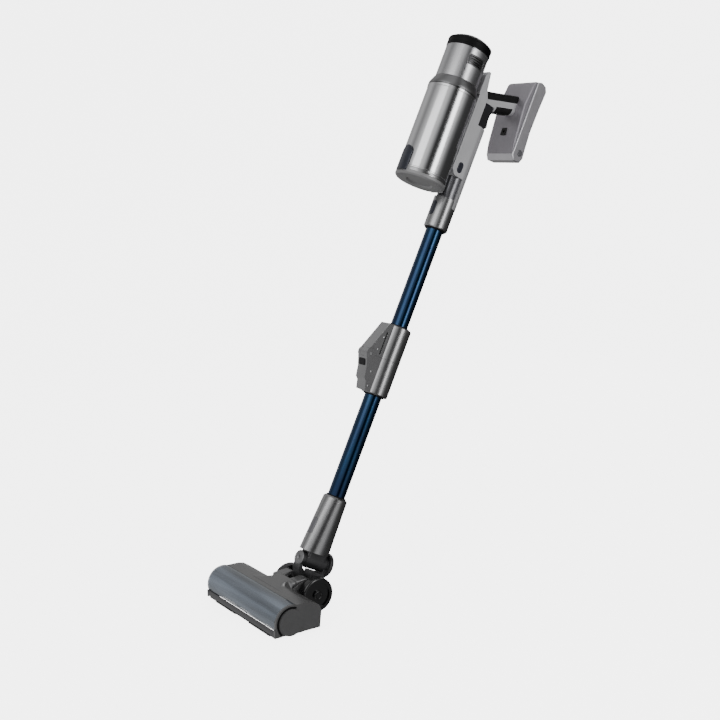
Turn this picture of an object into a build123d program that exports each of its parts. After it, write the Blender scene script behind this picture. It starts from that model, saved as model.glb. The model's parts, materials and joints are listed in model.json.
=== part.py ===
"""Cordless stick vacuum: floor head, swivel neck, folding wand and hand-held cyclone unit.

The frame has +Z up and the origin on the floor, under the middle of the machine's length and width.
The floor head faces -Y, and X runs across the machine.
The wand leans back from the vertical by LEAN, and everything above the floor head is drawn in the
wand's own directions: x across, r to the rear, square to the wand, and u up along the wand.
Both r and u are counted from the neck's tilt axis, which is also the axle of the big wheels.
"""

import os
from math import cos, radians, sin, tan

from build123d import *

os.makedirs("parts", exist_ok=True)

# ---------------------------------------------------------------- driving dimensions, in mm
LEAN = 25.0  # the wand's lean back from the vertical, in degrees
FIT = 0.3  # clearance between pieces that move past each other
RUN = 0.08  # radial clearance of a pin or a tube that runs in a bore
WALL = 2.2  # wall of the moulded shells

TUBE_R = 17.5
TUBE_WALL = 1.4

WHEEL_R = 34.0
WHEEL_WIDTH = 19.0
WHEEL_IN = 38.5  # inner face of each big wheel, from the middle

HEAD_HALF = 132.5
HEAD_FRONT = -141.0  # the head's lengths are counted from the tilt axis, + to the rear
CAP_THICK = 6.0
ROLLER_Y = -106.0
ROLLER_Z = 28.0
ROLLER_R = 27.0
ROLLER_HALF = 116.0
COVER_R = 33.6  # outside of the clear cover over the roller
BASE_Z = 3.5  # underside of the base plate

BIN_R = 51.5
BIN_OFF = 77.0  # the bin's axis stands this far in front of the wand's axis
BIN_LOW = 832.0
BIN_HIGH = 1017.0
MOTOR_R = 44.0
MOTOR_LOW = 1037.0
MOTOR_HIGH = 1104.0

SOCKET_R = 24.5
SOCKET_LOW = 756.0
SOCKET_HIGH = 820.0
COLLAR_LOW = 401.0
COLLAR_HIGH = 544.0
COLLAR_R = 27.0
FOLD_U = 473.0  # where the wand's two halves part
FOLD_PIN_R = -52.0
NECK_HIGH = 186.0
NECK_R = 24.5
SWIVEL_U = 53.0  # height of the swivel pin

PACK_FRONT = 87.0  # front face of the battery pack, behind the wand's axis
PACK_HALF = 41.0
REACH_BACK = 576.0  # from the tilt axis to the rearmost point of the battery pack

# ---------------------------------------------------------------- planes and helpers
lean = radians(LEAN)
PIVOT_Y = -(HEAD_FRONT + REACH_BACK) / 2
PIVOT_Z = WHEEL_R
STICK = Plane(origin=(0, PIVOT_Y, PIVOT_Z), x_dir=(1, 0, 0), z_dir=(0, sin(lean), cos(lean)))


def across(u, r=0.0, x=0.0):
    """A plane square to the wand: its sketch runs along x and r."""
    return Plane(origin=STICK.from_local_coords((x, r, u)), x_dir=STICK.x_dir, z_dir=STICK.z_dir)


def upright(x=0.0, r=0.0, u=0.0):
    """A plane that faces +X: its sketch runs along r and u."""
    return Plane(origin=STICK.from_local_coords((x, r, u)), x_dir=STICK.y_dir, z_dir=STICK.x_dir)


def frontal(r, u=0.0, x=0.0):
    """A plane that faces the front, against r: its sketch runs along x and u."""
    return Plane(origin=STICK.from_local_coords((x, r, u)), x_dir=STICK.x_dir, z_dir=-STICK.y_dir)


def beside(x=0.0, y=0.0, z=0.0):
    """A plane of the floor head that faces +X: its sketch runs along y and z."""
    return Plane(origin=(x, PIVOT_Y + y, z), x_dir=(0, 1, 0), z_dir=(1, 0, 0))


def level(z, y=0.0, x=0.0):
    """A level plane of the floor head, with its origin y behind the tilt axis."""
    return Plane(origin=(x, PIVOT_Y + y, z), x_dir=(1, 0, 0), z_dir=(0, 0, 1))


def outline(*points, mode=Mode.ADD):
    """A filled polygon through the given points, drawn in the sketch that is open."""
    with BuildLine() as edge:
        Polyline(*points, close=True)
    make_face(edge.edges(), mode=mode)


def turned(r_axis, *points):
    """Turns a profile of (radius, u) points about an axis along the wand, r_axis behind its own."""
    with BuildSketch(upright(0, r_axis)) as half:
        with BuildLine() as edge:
            Polyline(*points, close=True)
        make_face(edge.edges())
    revolve(half.sketch, axis=Axis(STICK.from_local_coords((0, r_axis, 0)), STICK.z_dir))


def oval_pocket(radius, u, long, wide):
    """Cuts the pocket of an oval push button through the front of a round housing."""
    with BuildSketch(frontal(-radius + 8, u)) as slot:
        SlotOverall(long + 2 * FIT, wide + 2 * FIT, rotation=90)
    extrude(slot.sketch, amount=14, mode=Mode.SUBTRACT)


def oval_button(radius, u, long, wide):
    """An oval push button whose face follows the round housing that it sits in."""
    with BuildPart() as button:
        with BuildSketch(frontal(-radius + 4.2, u)):
            SlotOverall(long, wide, rotation=90)
        extrude(amount=8)
        with BuildSketch(across(u - long)):
            Circle(radius + 0.6)
        extrude(amount=2 * long, mode=Mode.INTERSECT)
    return button


def keep(piece, node):
    """Labels a finished piece and writes it as the node's STEP file."""
    piece.part.label = node
    export_step(piece.part, f"parts/{node}.step")


# =============================================================== hand-held unit: the air path
DUCT_R = 21.0
DUCT_HIGH = 978.0
INLET_U = 952.0
INLET_R = 13.0
WAND_BTN_U = 794.0

with BuildPart() as wand_socket:
    turned(
        0,
        (TUBE_R + RUN, SOCKET_LOW),
        (SOCKET_R - 1.5, SOCKET_LOW),
        (SOCKET_R, SOCKET_LOW + 2),
        (SOCKET_R, SOCKET_HIGH),
        (TUBE_R - TUBE_WALL, SOCKET_HIGH),
        (TUBE_R - TUBE_WALL, SOCKET_HIGH - 4),
        (TUBE_R + RUN, SOCKET_HIGH - 4),
    )
    oval_pocket(SOCKET_R, WAND_BTN_U, 30, 14)
keep(wand_socket, "wand_socket")

wand_release_button = oval_button(SOCKET_R, WAND_BTN_U, 30, 14)
keep(wand_release_button, "wand_release_button")

with BuildPart() as spine_duct:
    with BuildSketch(across(SOCKET_HIGH)):
        Circle(DUCT_R)
    extrude(amount=DUCT_HIGH - SOCKET_HIGH)
    with BuildSketch(frontal(0, INLET_U)):
        Circle(INLET_R + 2)
    extrude(amount=BIN_OFF - BIN_R - FIT)
    with BuildSketch(across(SOCKET_HIGH - 1)):
        Circle(DUCT_R - 2)
    extrude(amount=DUCT_HIGH - SOCKET_HIGH - 1, mode=Mode.SUBTRACT)
    with BuildSketch(frontal(0, INLET_U)):
        Circle(INLET_R)
    extrude(amount=40, mode=Mode.SUBTRACT)
keep(spine_duct, "spine_duct")

# =============================================================== hand-held unit: spine
SPINE_HALF = 25.0
SPINE_LOW = 866.0
SPINE_TAIL = 803.0
BIN_BTN_U = 885.0
BIN_BTN_R = -13.0
TRIGGER_U = 1008.0
TRIGGER_HALF = 16.5

with BuildPart() as spine_cover:
    with BuildSketch(upright(-SPINE_HALF)):
        outline(
            (-32.0, SPINE_LOW + 12),
            (-32.0, 1076.0),
            (-27.0, 1087.0),
            (-22.0, 1087.0),
            (-16.0, 1053.0),
            (-8.0, 1037.0),
            (-8.0, 980.0),
            (SPINE_HALF, 980.0),
            (SPINE_HALF, SPINE_TAIL),
            (3.0, SPINE_TAIL),
            (3.0, SPINE_LOW),
            (-20.0, SPINE_LOW),
        )
    extrude(amount=2 * SPINE_HALF)
    with BuildSketch(across(SPINE_TAIL - 1)):
        Circle(SPINE_HALF)
        with Locations((0, -SPINE_HALF)):
            Rectangle(2 * SPINE_HALF, 2 * SPINE_HALF)
    extrude(amount=300, mode=Mode.INTERSECT)
    # room for the duct, for the round walls of bin and motor, and for the electronics
    with BuildSketch(across(SPINE_TAIL - 1)):
        Circle(DUCT_R + 0.02)
    extrude(amount=DUCT_HIGH + 1 - SPINE_TAIL, mode=Mode.SUBTRACT)
    with BuildSketch(across(SPINE_TAIL - 1)):
        Circle(SOCKET_R + 0.02)
    extrude(amount=SOCKET_HIGH + 1 - SPINE_TAIL, mode=Mode.SUBTRACT)
    with BuildSketch(across(SPINE_LOW - 1, -BIN_OFF)):
        Circle(BIN_R + 1)
    extrude(amount=MOTOR_LOW + 1 - SPINE_LOW, mode=Mode.SUBTRACT)
    with BuildSketch(across(MOTOR_LOW, -BIN_OFF)):
        Circle(MOTOR_R + 0.1)
    extrude(amount=100, mode=Mode.SUBTRACT)
    with BuildSketch(frontal(0, INLET_U)):
        Circle(INLET_R + 2.02)
    extrude(amount=60, mode=Mode.SUBTRACT)
    with BuildSketch(across(990)):
        with Locations((0, -16)):
            Rectangle(2 * SPINE_HALF - 6, 11)
    extrude(amount=42, mode=Mode.SUBTRACT)
    # a hole for the trigger's stem, and the pocket of the bin's release button
    with BuildSketch(frontal(0, TRIGGER_U)):
        Rectangle(8.6, 8.6)
    extrude(amount=12, mode=Mode.SUBTRACT)
    with BuildSketch(upright(SPINE_HALF - 4, BIN_BTN_R, BIN_BTN_U)):
        SlotOverall(22.6, 12.6, rotation=90)
    extrude(amount=10, mode=Mode.SUBTRACT)
keep(spine_cover, "spine_cover")

with BuildPart() as bin_release_button:
    with BuildSketch(upright(SPINE_HALF - 2, BIN_BTN_R, BIN_BTN_U)):
        SlotOverall(22, 12, rotation=90)
    extrude(amount=3)
    fillet(bin_release_button.faces().sort_by(Axis.X)[-1].edges(), 0.8)
keep(bin_release_button, "bin_release_button")

with BuildPart() as control_board:
    with BuildSketch(frontal(-17.4, 1011)):
        Rectangle(40, 38)
    extrude(amount=1.6)
    with BuildSketch(frontal(-19, 1011)):
        with GridLocations(13, 12, 3, 2):
            Rectangle(7, 5)
    extrude(amount=2)
keep(control_board, "control_board")

with BuildPart() as trigger:
    with BuildSketch(upright(-TRIGGER_HALF)):
        outline(
            (-4.5, 1031),
            (14, 1031),
            (19.5, 1028.5),
            (22, 1023),
            (19.5, 1015),
            (18.6, 1007),
            (19.4, 997),
            (21.5, 989),
            (18, 983.5),
            (-1, 982.5),
            (-4.5, 988),
        )
    extrude(amount=2 * TRIGGER_HALF)
    fillet(trigger.edges().filter_by(Axis.X), 1.2)
    fillet(trigger.faces().filter_by(Axis.X).edges(), 1.0)
    with BuildSketch(frontal(0, TRIGGER_U)):
        Rectangle(8, 8)
    extrude(amount=12)
keep(trigger, "trigger")

# =============================================================== hand-held unit: dust bin
LID_PIN_R = -29.0
LID_PIN_U = 826.0
LID_LOW = 823.0
LATCH_U = 866.0
LATCH_LOW = 829.0
LATCH_HALF = 14.0

with BuildPart() as bin_cup:
    turned(
        -BIN_OFF,
        (BIN_R - WALL, BIN_LOW),
        (BIN_R, BIN_LOW),
        (BIN_R, BIN_LOW + 8),
        (BIN_R - 0.8, BIN_LOW + 9),
        (BIN_R - 0.8, BIN_HIGH - 7),
        (BIN_R, BIN_HIGH - 6),
        (BIN_R, BIN_HIGH - FIT),
        (BIN_R - WALL, BIN_HIGH - FIT),
    )
    with BuildSketch(frontal(-10, INLET_U)):
        Circle(INLET_R)
    extrude(amount=35, mode=Mode.SUBTRACT)
    # two ears hold the lid's hinge pin
    for side in (-1, 1):
        with BuildSketch(upright(side * 13.2 - 2.9, LID_PIN_R, LID_PIN_U)):
            Circle(3)
            with Locations((0, 3.5)):
                Rectangle(6, 7)
        extrude(amount=5.8)
    with BuildSketch(upright(-18, LID_PIN_R, LID_PIN_U)):
        Circle(1.52)
    extrude(amount=36, mode=Mode.SUBTRACT)
keep(bin_cup, "bin_cup")

with BuildPart() as bin_hinge_pin:
    with BuildSketch(upright(-15.8, LID_PIN_R, LID_PIN_U)):
        Circle(1.5)
    extrude(amount=31.6)
keep(bin_hinge_pin, "bin_hinge_pin")

with BuildPart() as bin_lid:
    turned(
        -BIN_OFF,
        (0, LID_LOW + 3),
        (24, LID_LOW + 3),
        (28, LID_LOW),
        (BIN_R - 3, LID_LOW),
        (BIN_R, LID_LOW + 3),
        (BIN_R, BIN_LOW - FIT),
        (0, BIN_LOW - FIT),
    )
    # nothing but the hinge's knuckle reaches behind the pin
    with BuildSketch(across(LID_LOW - 1)):
        with Locations((0, LID_PIN_R + 10)):
            Rectangle(120, 20)
    extrude(amount=20, mode=Mode.SUBTRACT)
    with BuildSketch(across(LID_LOW - 1)):
        with Locations((0, LID_PIN_R - 3.6 + 10)):
            Rectangle(33.2, 20)
    extrude(amount=20, mode=Mode.SUBTRACT)
    with BuildSketch(upright(-10, LID_PIN_R, LID_PIN_U)):
        Circle(3)
        with Locations((-3, 1.2)):
            Rectangle(6, 8.4)
    extrude(amount=20)
    with BuildSketch(upright(-11, LID_PIN_R, LID_PIN_U)):
        Circle(1.5 + RUN)
    extrude(amount=22, mode=Mode.SUBTRACT)
keep(bin_lid, "bin_lid")

with BuildPart() as bin_seal:
    turned(
        -BIN_OFF,
        (BIN_R - WALL - 5, BIN_LOW - FIT),
        (BIN_R - WALL - 0.9, BIN_LOW - FIT),
        (BIN_R - WALL - 0.9, BIN_LOW + 2),
        (BIN_R - WALL - 2, BIN_LOW + 3),
        (BIN_R - WALL - 5, BIN_LOW + 3),
    )
    with BuildSketch(across(BIN_LOW - 2)):
        with Locations((0, LID_PIN_R - 4 + 10)):
            Rectangle(120, 20)
    extrude(amount=10, mode=Mode.SUBTRACT)
keep(bin_seal, "bin_seal")

with BuildPart() as bin_latch:
    with BuildSketch(frontal(-BIN_OFF, LATCH_U)):
        Circle(LATCH_HALF)
        with Locations((0, (LATCH_LOW - LATCH_U) / 2)):
            Rectangle(2 * LATCH_HALF, LATCH_U - LATCH_LOW)
    extrude(amount=BIN_R + 10)
    with BuildSketch(across(LATCH_LOW - 5, -BIN_OFF)):
        Circle(BIN_R + 3.4)
        Circle(BIN_R + 0.5, mode=Mode.SUBTRACT)
    extrude(amount=80, mode=Mode.INTERSECT)
keep(bin_latch, "bin_latch")

with BuildPart() as cyclone_shroud:
    turned(-BIN_OFF, (29, 905), (33, 905), (33, 1010), (42, BIN_HIGH), (36, BIN_HIGH), (29, 1010))
    with BuildSketch(across(908, -BIN_OFF)):
        with PolarLocations(31, 24):
            Rectangle(8, 4)
    extrude(amount=96, mode=Mode.SUBTRACT)
    for row in range(4):
        hoop = 924 + 19 * row
        turned(-BIN_OFF, (29.2, hoop), (32.8, hoop), (32.8, hoop + 3), (29.2, hoop + 3))
keep(cyclone_shroud, "cyclone_shroud")

with BuildPart() as cyclone_cone:
    turned(
        -BIN_OFF,
        (10, 846),
        (13, 846),
        (24, 896),
        (31.5, 901),
        (31.5, 904.8),
        (28.5, 904.8),
        (22, 899),
    )
    turned(-BIN_OFF, (13, 899), (15.5, 899), (15.5, 1012), (13, 1012))
    turned(-BIN_OFF, (13, 899), (24, 899), (24, 901), (13, 901))
keep(cyclone_cone, "cyclone_cone")

# =============================================================== hand-held unit: motor and filter
IMPELLER_U = 1044.0

with BuildPart() as shoulder_ring:
    turned(
        -BIN_OFF,
        (36, BIN_HIGH + 0.02),
        (BIN_R, BIN_HIGH + 0.02),
        (BIN_R, BIN_HIGH + 4),
        (MOTOR_R + 2, MOTOR_LOW - 3),
        (MOTOR_R, MOTOR_LOW),
        (36, MOTOR_LOW),
    )
keep(shoulder_ring, "shoulder_ring")

with BuildPart() as motor_housing:
    turned(
        -BIN_OFF,
        (36, MOTOR_LOW),
        (MOTOR_R, MOTOR_LOW),
        (MOTOR_R, MOTOR_HIGH),
        (MOTOR_R - WALL, MOTOR_HIGH),
        (MOTOR_R - WALL, 1062),
        (27.1, 1062),
        (27.1, 1059),
        (MOTOR_R - WALL, 1059),
        (MOTOR_R - WALL, MOTOR_LOW + 3),
        (36, MOTOR_LOW + 3),
    )
    # exhaust windows in both sides, and holes for the air through the motor's flange
    with BuildSketch(upright(-60, -BIN_OFF - 1, 1080)):
        RectangleRounded(38, 21, 4)
    extrude(amount=120, mode=Mode.SUBTRACT)
    with BuildSketch(across(1055, -BIN_OFF)):
        with PolarLocations(34.5, 8):
            Circle(4)
    extrude(amount=10, mode=Mode.SUBTRACT)
keep(motor_housing, "motor_housing")

with BuildPart() as exhaust_grilles:
    with BuildSketch(upright(-60, -BIN_OFF - 1, 1080)):
        RectangleRounded(37.8, 20.8, 3.9)
    extrude(amount=120)
    with BuildSketch(across(1060, -BIN_OFF)):
        Circle(MOTOR_R - 0.8)
        Circle(MOTOR_R - WALL + 0.05, mode=Mode.SUBTRACT)
    extrude(amount=40, mode=Mode.INTERSECT)
    with BuildSketch(upright(-60, -BIN_OFF - 1, 1080)):
        with GridLocations(0, 4.4, 1, 4):
            SlotOverall(31, 2.2)
    extrude(amount=120, mode=Mode.SUBTRACT)
keep(exhaust_grilles, "exhaust_grilles")

with BuildPart() as suction_motor:
    turned(
        -BIN_OFF,
        (2.5 + RUN, 1057),
        (27, 1057),
        (27, 1084),
        (22, 1090),
        (8, 1090),
        (8, 1093),
        (2.5 + RUN, 1093),
    )
keep(suction_motor, "suction_motor")

with BuildPart() as impeller:
    turned(-BIN_OFF, (2.5, IMPELLER_U), (30, IMPELLER_U), (30, IMPELLER_U + 1.4), (8, IMPELLER_U + 3), (7, 1054), (2.5, 1054))
    with BuildSketch(across(IMPELLER_U + 0.5, -BIN_OFF)):
        with PolarLocations(18, 9):
            Rectangle(22, 1.2, rotation=35)
    extrude(amount=8)
keep(impeller, "impeller")

with BuildPart() as motor_shaft:
    with BuildSketch(across(1040, -BIN_OFF)):
        Circle(2.48)
    extrude(amount=55)
keep(motor_shaft, "motor_shaft")

CAP_EDGE = 1121.0
CAP_TOP = 1136.0
CAP_R = 45.0
with BuildPart() as filter_cap:
    with BuildSketch(upright(0, -BIN_OFF)):
        with BuildLine() as cap_edge:
            Polyline((0, CAP_EDGE - 2), (CAP_R - 3, CAP_EDGE - 2), (CAP_R - 3, MOTOR_HIGH + FIT))
            Polyline((CAP_R - 3, MOTOR_HIGH + FIT), (CAP_R, MOTOR_HIGH + FIT), (CAP_R, CAP_EDGE))
            ThreePointArc((CAP_R, CAP_EDGE), (25, 1131.7), (0, CAP_TOP))
            Line((0, CAP_TOP), (0, CAP_EDGE - 2))
        make_face()
    revolve(axis=Axis(STICK.from_local_coords((0, -BIN_OFF, 0)), STICK.z_dir))
    fillet(filter_cap.edges().filter_by(GeomType.CIRCLE).group_by(SortBy.LENGTH)[-1], 0.9)
keep(filter_cap, "filter_cap")

with BuildPart() as filter_element:
    with BuildSketch(across(1097, -BIN_OFF)):
        Circle(37)
        with PolarLocations(37.5, 30):
            Rectangle(6, 2.4, mode=Mode.SUBTRACT)
        Circle(26, mode=Mode.SUBTRACT)
    extrude(amount=CAP_EDGE - 2 - 1097)
keep(filter_element, "filter_element")

# =============================================================== hand-held unit: handle
BAR_TILT = 19.6
BAR_HALF = 17.0
GRIP = 3.0  # thickness of the rubber
PORT_U = 1008.0


def bar_u(r, drop):
    """Height on the handle bar at r, drop below its top line."""
    return 1053 + (r + 16) * tan(radians(BAR_TILT)) - drop


def frame_edge(u):
    """Where the front of the handle's rear frame stands at height u."""
    if u > 1064:
        return 73 + (u - 1064) * 5 / 46
    return 73 + (1064 - u) * 6 / 54


def bar_blank(inset):
    """The bar between spine and rear frame, smaller by inset all round but not at its ends."""
    low = 44.6 - inset
    half = BAR_HALF - inset
    with BuildPart() as bar:
        with BuildSketch(upright(-half)) as side:
            outline(
                (-16, bar_u(-16, inset)),
                (frame_edge(bar_u(72.1, inset)), bar_u(72.1, inset)),
                (73, 1064),
                (frame_edge(bar_u(75.6, low)), bar_u(75.6, low)),
                (22 + inset, bar_u(22, low)),
                (22 + inset, 1032 + inset),
                (-8, 1032 + inset),
                (-8, 1037),
            )
        extrude(side.sketch, amount=2 * half)
        long_edges = [edge for edge in bar.edges() if edge.length > 50]
        fillet(long_edges, 10 - inset)
    return bar


def bar_band(r_front, r_back, high, low):
    """The slice of space from high to low under the bar's top line."""
    with BuildPart() as band:
        with BuildSketch(upright(-30)) as side:
            outline(
                (r_front, bar_u(r_front, high)),
                (r_back, bar_u(r_back, high)),
                (r_back, bar_u(r_back, low)),
                (r_front, bar_u(r_front, low)),
            )
        extrude(side.sketch, amount=60)
    return band


with BuildPart() as grip_top:
    add(bar_blank(0))
    add(bar_blank(GRIP), mode=Mode.SUBTRACT)
    add(bar_band(-20, 80, -20, 18), mode=Mode.INTERSECT)
keep(grip_top, "grip_top")

with BuildPart() as grip_bottom:
    add(bar_blank(0))
    add(bar_blank(GRIP), mode=Mode.SUBTRACT)
    add(bar_band(26, 67, 31, 60), mode=Mode.INTERSECT)
keep(grip_bottom, "grip_bottom")

with BuildPart() as handle_bar:
    add(bar_blank(0))
    add(grip_top, mode=Mode.SUBTRACT)
    add(grip_bottom, mode=Mode.SUBTRACT)
keep(handle_bar, "handle_bar")

with BuildPart() as handle_frame:
    with BuildSketch(upright(-PACK_HALF)):
        outline(
            (78, 1110),
            (73, 1064),
            (79, 1010),
            (82, 983),
            (PACK_FRONT, 963),
            (PACK_FRONT, 1121),
            (83, 1119.8),
            (79.5, 1116),
        )
    extrude(amount=2 * PACK_HALF)
    fillet(handle_frame.faces().filter_by(Axis.X).edges(), 2.5)
    # the tongue that the battery pack slides on
    with BuildSketch(across(985)):
        with Locations((0, PACK_FRONT + 1.5)):
            Rectangle(24, 3)
    extrude(amount=115)
    # the front face is thinned behind the charging socket
    with BuildSketch(frontal(PACK_FRONT - 1, PORT_U)):
        RectangleRounded(16.04, 16.04, 2)
    extrude(amount=20, mode=Mode.SUBTRACT)
keep(handle_frame, "handle_frame")

with BuildPart() as charge_socket:
    with BuildSketch(frontal(PACK_FRONT - 1, PORT_U)):
        RectangleRounded(16, 16, 2)
    extrude(amount=7.6)
    with BuildSketch(frontal(PACK_FRONT - 0.5, PORT_U)):
        Circle(2.8)
    extrude(amount=20, mode=Mode.SUBTRACT)
keep(charge_socket, "charge_socket")

with BuildPart() as pack_contacts:
    with BuildSketch(frontal(PACK_FRONT + 3, 1000)):
        with GridLocations(7, 0, 3, 1):
            Rectangle(3, 14)
    extrude(amount=-0.2)
keep(pack_contacts, "pack_contacts")

# =============================================================== battery pack
PACK_BTN_R = 105.0
PACK_BTN_U = 971.0

with BuildPart() as battery_case:
    with BuildSketch(upright(-PACK_HALF)):
        outline(
            (PACK_FRONT + FIT, 1121),
            (98, 1125.5),
            (111, 1122),
            (117, 1112),
            (114.5, 1072),
            (113, 1021),
            (116, 984),
            (118, 964),
            (113, 953),
            (95, 951),
            (PACK_FRONT + FIT, 961),
        )
    extrude(amount=2 * PACK_HALF)
    fillet(battery_case.faces().filter_by(Axis.X).edges(), 2.5)
    with BuildSketch(upright(-PACK_HALF + WALL)):
        outline(
            (92.2, 1120),
            (100, 1122.5),
            (108.5, 1119.5),
            (114.2, 1111),
            (112, 1072),
            (110.6, 1021),
            (113.6, 984),
            (115.4, 965),
            (111, 955.5),
            (94, 953.5),
            (92.2, 956),
        )
    extrude(amount=2 * (PACK_HALF - WALL), mode=Mode.SUBTRACT)
    # groove for the handle's tongue, open at the top, and the release button's pocket
    with BuildSketch(across(985 - FIT)):
        with Locations((0, PACK_FRONT + 1.8)):
            Rectangle(24 + 2 * FIT, 3)
    extrude(amount=160, mode=Mode.SUBTRACT)
    with BuildSketch(upright(PACK_HALF - 6, PACK_BTN_R, PACK_BTN_U)):
        Circle(9)
    extrude(amount=5)
    with BuildSketch(upright(PACK_HALF - 5, PACK_BTN_R, PACK_BTN_U)):
        Circle(6.8)
    extrude(amount=10, mode=Mode.SUBTRACT)
keep(battery_case, "battery_case")

with BuildPart() as battery_button:
    with BuildSketch(upright(PACK_HALF - 2.6, PACK_BTN_R, PACK_BTN_U)):
        Circle(6.5)
    extrude(amount=3.6)
    fillet(battery_button.faces().sort_by(Axis.X)[-1].edges(), 1)
keep(battery_button, "battery_button")

with BuildPart() as battery_cells:
    with BuildSketch(upright(-32.5, 101.4, 1036)):
        with GridLocations(0, 20, 1, 7):
            Circle(8.9)
    extrude(amount=65)
keep(battery_cells, "battery_cells")

# =============================================================== wand: upper half
KNUCKLE_R = 11.0
KNUCKLE_HALF = 6.0
FOLD_HALF = 15.0
FOLD_PIN_RADIUS = 3.0


def fold_cylinder(radius, start, amount, mode):
    """A cylinder on the fold's hinge line, from start along X."""
    with BuildSketch(upright(start, FOLD_PIN_R, FOLD_U)) as round_face:
        Circle(radius)
    extrude(round_face.sketch, amount=amount, mode=mode)


with BuildPart() as upper_tube:
    turned(
        0,
        (TUBE_R - TUBE_WALL, FOLD_U + 30),
        (TUBE_R, FOLD_U + 30),
        (TUBE_R, SOCKET_HIGH - 4 - FIT),
        (TUBE_R - TUBE_WALL, SOCKET_HIGH - 4 - FIT),
    )
keep(upper_tube, "upper_tube")

with BuildPart() as fold_upper:
    turned(
        0,
        (TUBE_R - TUBE_WALL + 1, FOLD_U + FIT / 2),
        (COLLAR_R, FOLD_U + FIT / 2),
        (COLLAR_R, COLLAR_HIGH - 2),
        (COLLAR_R - 2, COLLAR_HIGH),
        (TUBE_R + 0.02, COLLAR_HIGH),
        (TUBE_R + 0.02, FOLD_U + 30),
        (TUBE_R - TUBE_WALL + 1, FOLD_U + 30),
    )
    with BuildSketch(upright(-FOLD_HALF)):
        outline(
            (FOLD_PIN_R - KNUCKLE_R, FOLD_U + FIT / 2),
            (-33.5, 543),
            (-24, 543),
            (-24, FOLD_U + FIT / 2),
        )
    extrude(amount=2 * FOLD_HALF)
    fold_cylinder(KNUCKLE_R, -KNUCKLE_HALF + FIT / 2, 2 * KNUCKLE_HALF - FIT, Mode.ADD)
    fold_cylinder(KNUCKLE_R + FIT, KNUCKLE_HALF - FIT / 2, 20, Mode.SUBTRACT)
    fold_cylinder(KNUCKLE_R + FIT, -KNUCKLE_HALF + FIT / 2, -20, Mode.SUBTRACT)
    fold_cylinder(FOLD_PIN_RADIUS + 0.02, -20, 40, Mode.SUBTRACT)
    # the slot between the ramp and the collar
    with BuildSketch(upright(-FOLD_HALF - 1)):
        outline((-33.5, 478), (-30.5, 478), (-30.5, 524), (-33.5, 524))
    extrude(amount=6, mode=Mode.SUBTRACT)
    with BuildSketch(upright(FOLD_HALF - 5)):
        outline((-33.5, 478), (-30.5, 478), (-30.5, 524), (-33.5, 524))
    extrude(amount=6, mode=Mode.SUBTRACT)
keep(fold_upper, "fold_upper")

with BuildPart() as fold_pin:
    fold_cylinder(FOLD_PIN_RADIUS, -FOLD_HALF + 0.5, 2 * FOLD_HALF - 1, Mode.ADD)
keep(fold_pin, "fold_pin")

with BuildPart() as fold_cuff:
    for ridge in range(6):
        turned(
            0,
            (13.4, FOLD_U + 1 + 4 * ridge),
            (16.6, FOLD_U + 3 + 4 * ridge),
            (13.4, FOLD_U + 5 + 4 * ridge),
            (12.4, FOLD_U + 5 + 4 * ridge),
            (15.4, FOLD_U + 3 + 4 * ridge),
            (12.4, FOLD_U + 1 + 4 * ridge),
        )
    turned(0, (12.4, FOLD_U + 25), (16.6, FOLD_U + 25), (16.6, FOLD_U + 28), (12.4, FOLD_U + 28))
keep(fold_cuff, "fold_cuff")

# =============================================================== wand: lower half
FOLD_BTN_U = 453.5
slope = (12.0, -28.8)
slope_normal = STICK.y_dir * (slope[1] / 31.2) - STICK.z_dir * (slope[0] / 31.2)
fold_button_r = -63 + (FOLD_U - FOLD_BTN_U) * 12.0 / 28.8
fold_face = Plane(
    origin=STICK.from_local_coords((0, fold_button_r, FOLD_BTN_U)),
    x_dir=(1, 0, 0),
    z_dir=slope_normal,
)

with BuildPart() as fold_lower:
    turned(
        0,
        (TUBE_R + 0.02, COLLAR_LOW),
        (COLLAR_R - 2, COLLAR_LOW),
        (COLLAR_R, COLLAR_LOW + 2),
        (COLLAR_R, FOLD_U - FIT / 2),
        (TUBE_R - TUBE_WALL + 1, FOLD_U - FIT / 2),
        (TUBE_R - TUBE_WALL + 1, FOLD_U - 20),
        (TUBE_R + 0.02, FOLD_U - 20),
    )
    with BuildSketch(upright(-FOLD_HALF)):
        outline(
            (-63, FOLD_U - FIT / 2),
            (-51, 444.2),
            (-47, 424),
            (-41, 419),
            (-36, COLLAR_LOW + 1),
            (-22, COLLAR_LOW + 1),
            (-22, FOLD_U - FIT / 2),
        )
    extrude(amount=2 * FOLD_HALF)
    fold_cylinder(KNUCKLE_R, KNUCKLE_HALF + FIT / 2, FOLD_HALF - KNUCKLE_HALF - FIT / 2, Mode.ADD)
    fold_cylinder(KNUCKLE_R, -KNUCKLE_HALF - FIT / 2, -FOLD_HALF + KNUCKLE_HALF + FIT / 2, Mode.ADD)
    fold_cylinder(KNUCKLE_R + FIT, -KNUCKLE_HALF - FIT / 2, 2 * KNUCKLE_HALF + FIT, Mode.SUBTRACT)
    fold_cylinder(FOLD_PIN_RADIUS + RUN, -20, 40, Mode.SUBTRACT)
    with BuildSketch(across(COLLAR_LOW - 1)):
        Circle(TUBE_R + 0.02)
    extrude(amount=FOLD_U - 20 - COLLAR_LOW + 1, mode=Mode.SUBTRACT)
    with BuildSketch(fold_face.offset(-8)):
        RectangleRounded(20.8, 13.8, 2.4)
    extrude(amount=14, mode=Mode.SUBTRACT)
keep(fold_lower, "fold_lower")

with BuildPart() as fold_button:
    with BuildSketch(fold_face.offset(-5)):
        RectangleRounded(20, 13, 2)
    extrude(amount=6.4)
    fillet(fold_button.faces().sort_by(Axis(fold_face.origin, fold_face.z_dir))[-1].edges(), 1)
keep(fold_button, "fold_button")

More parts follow.
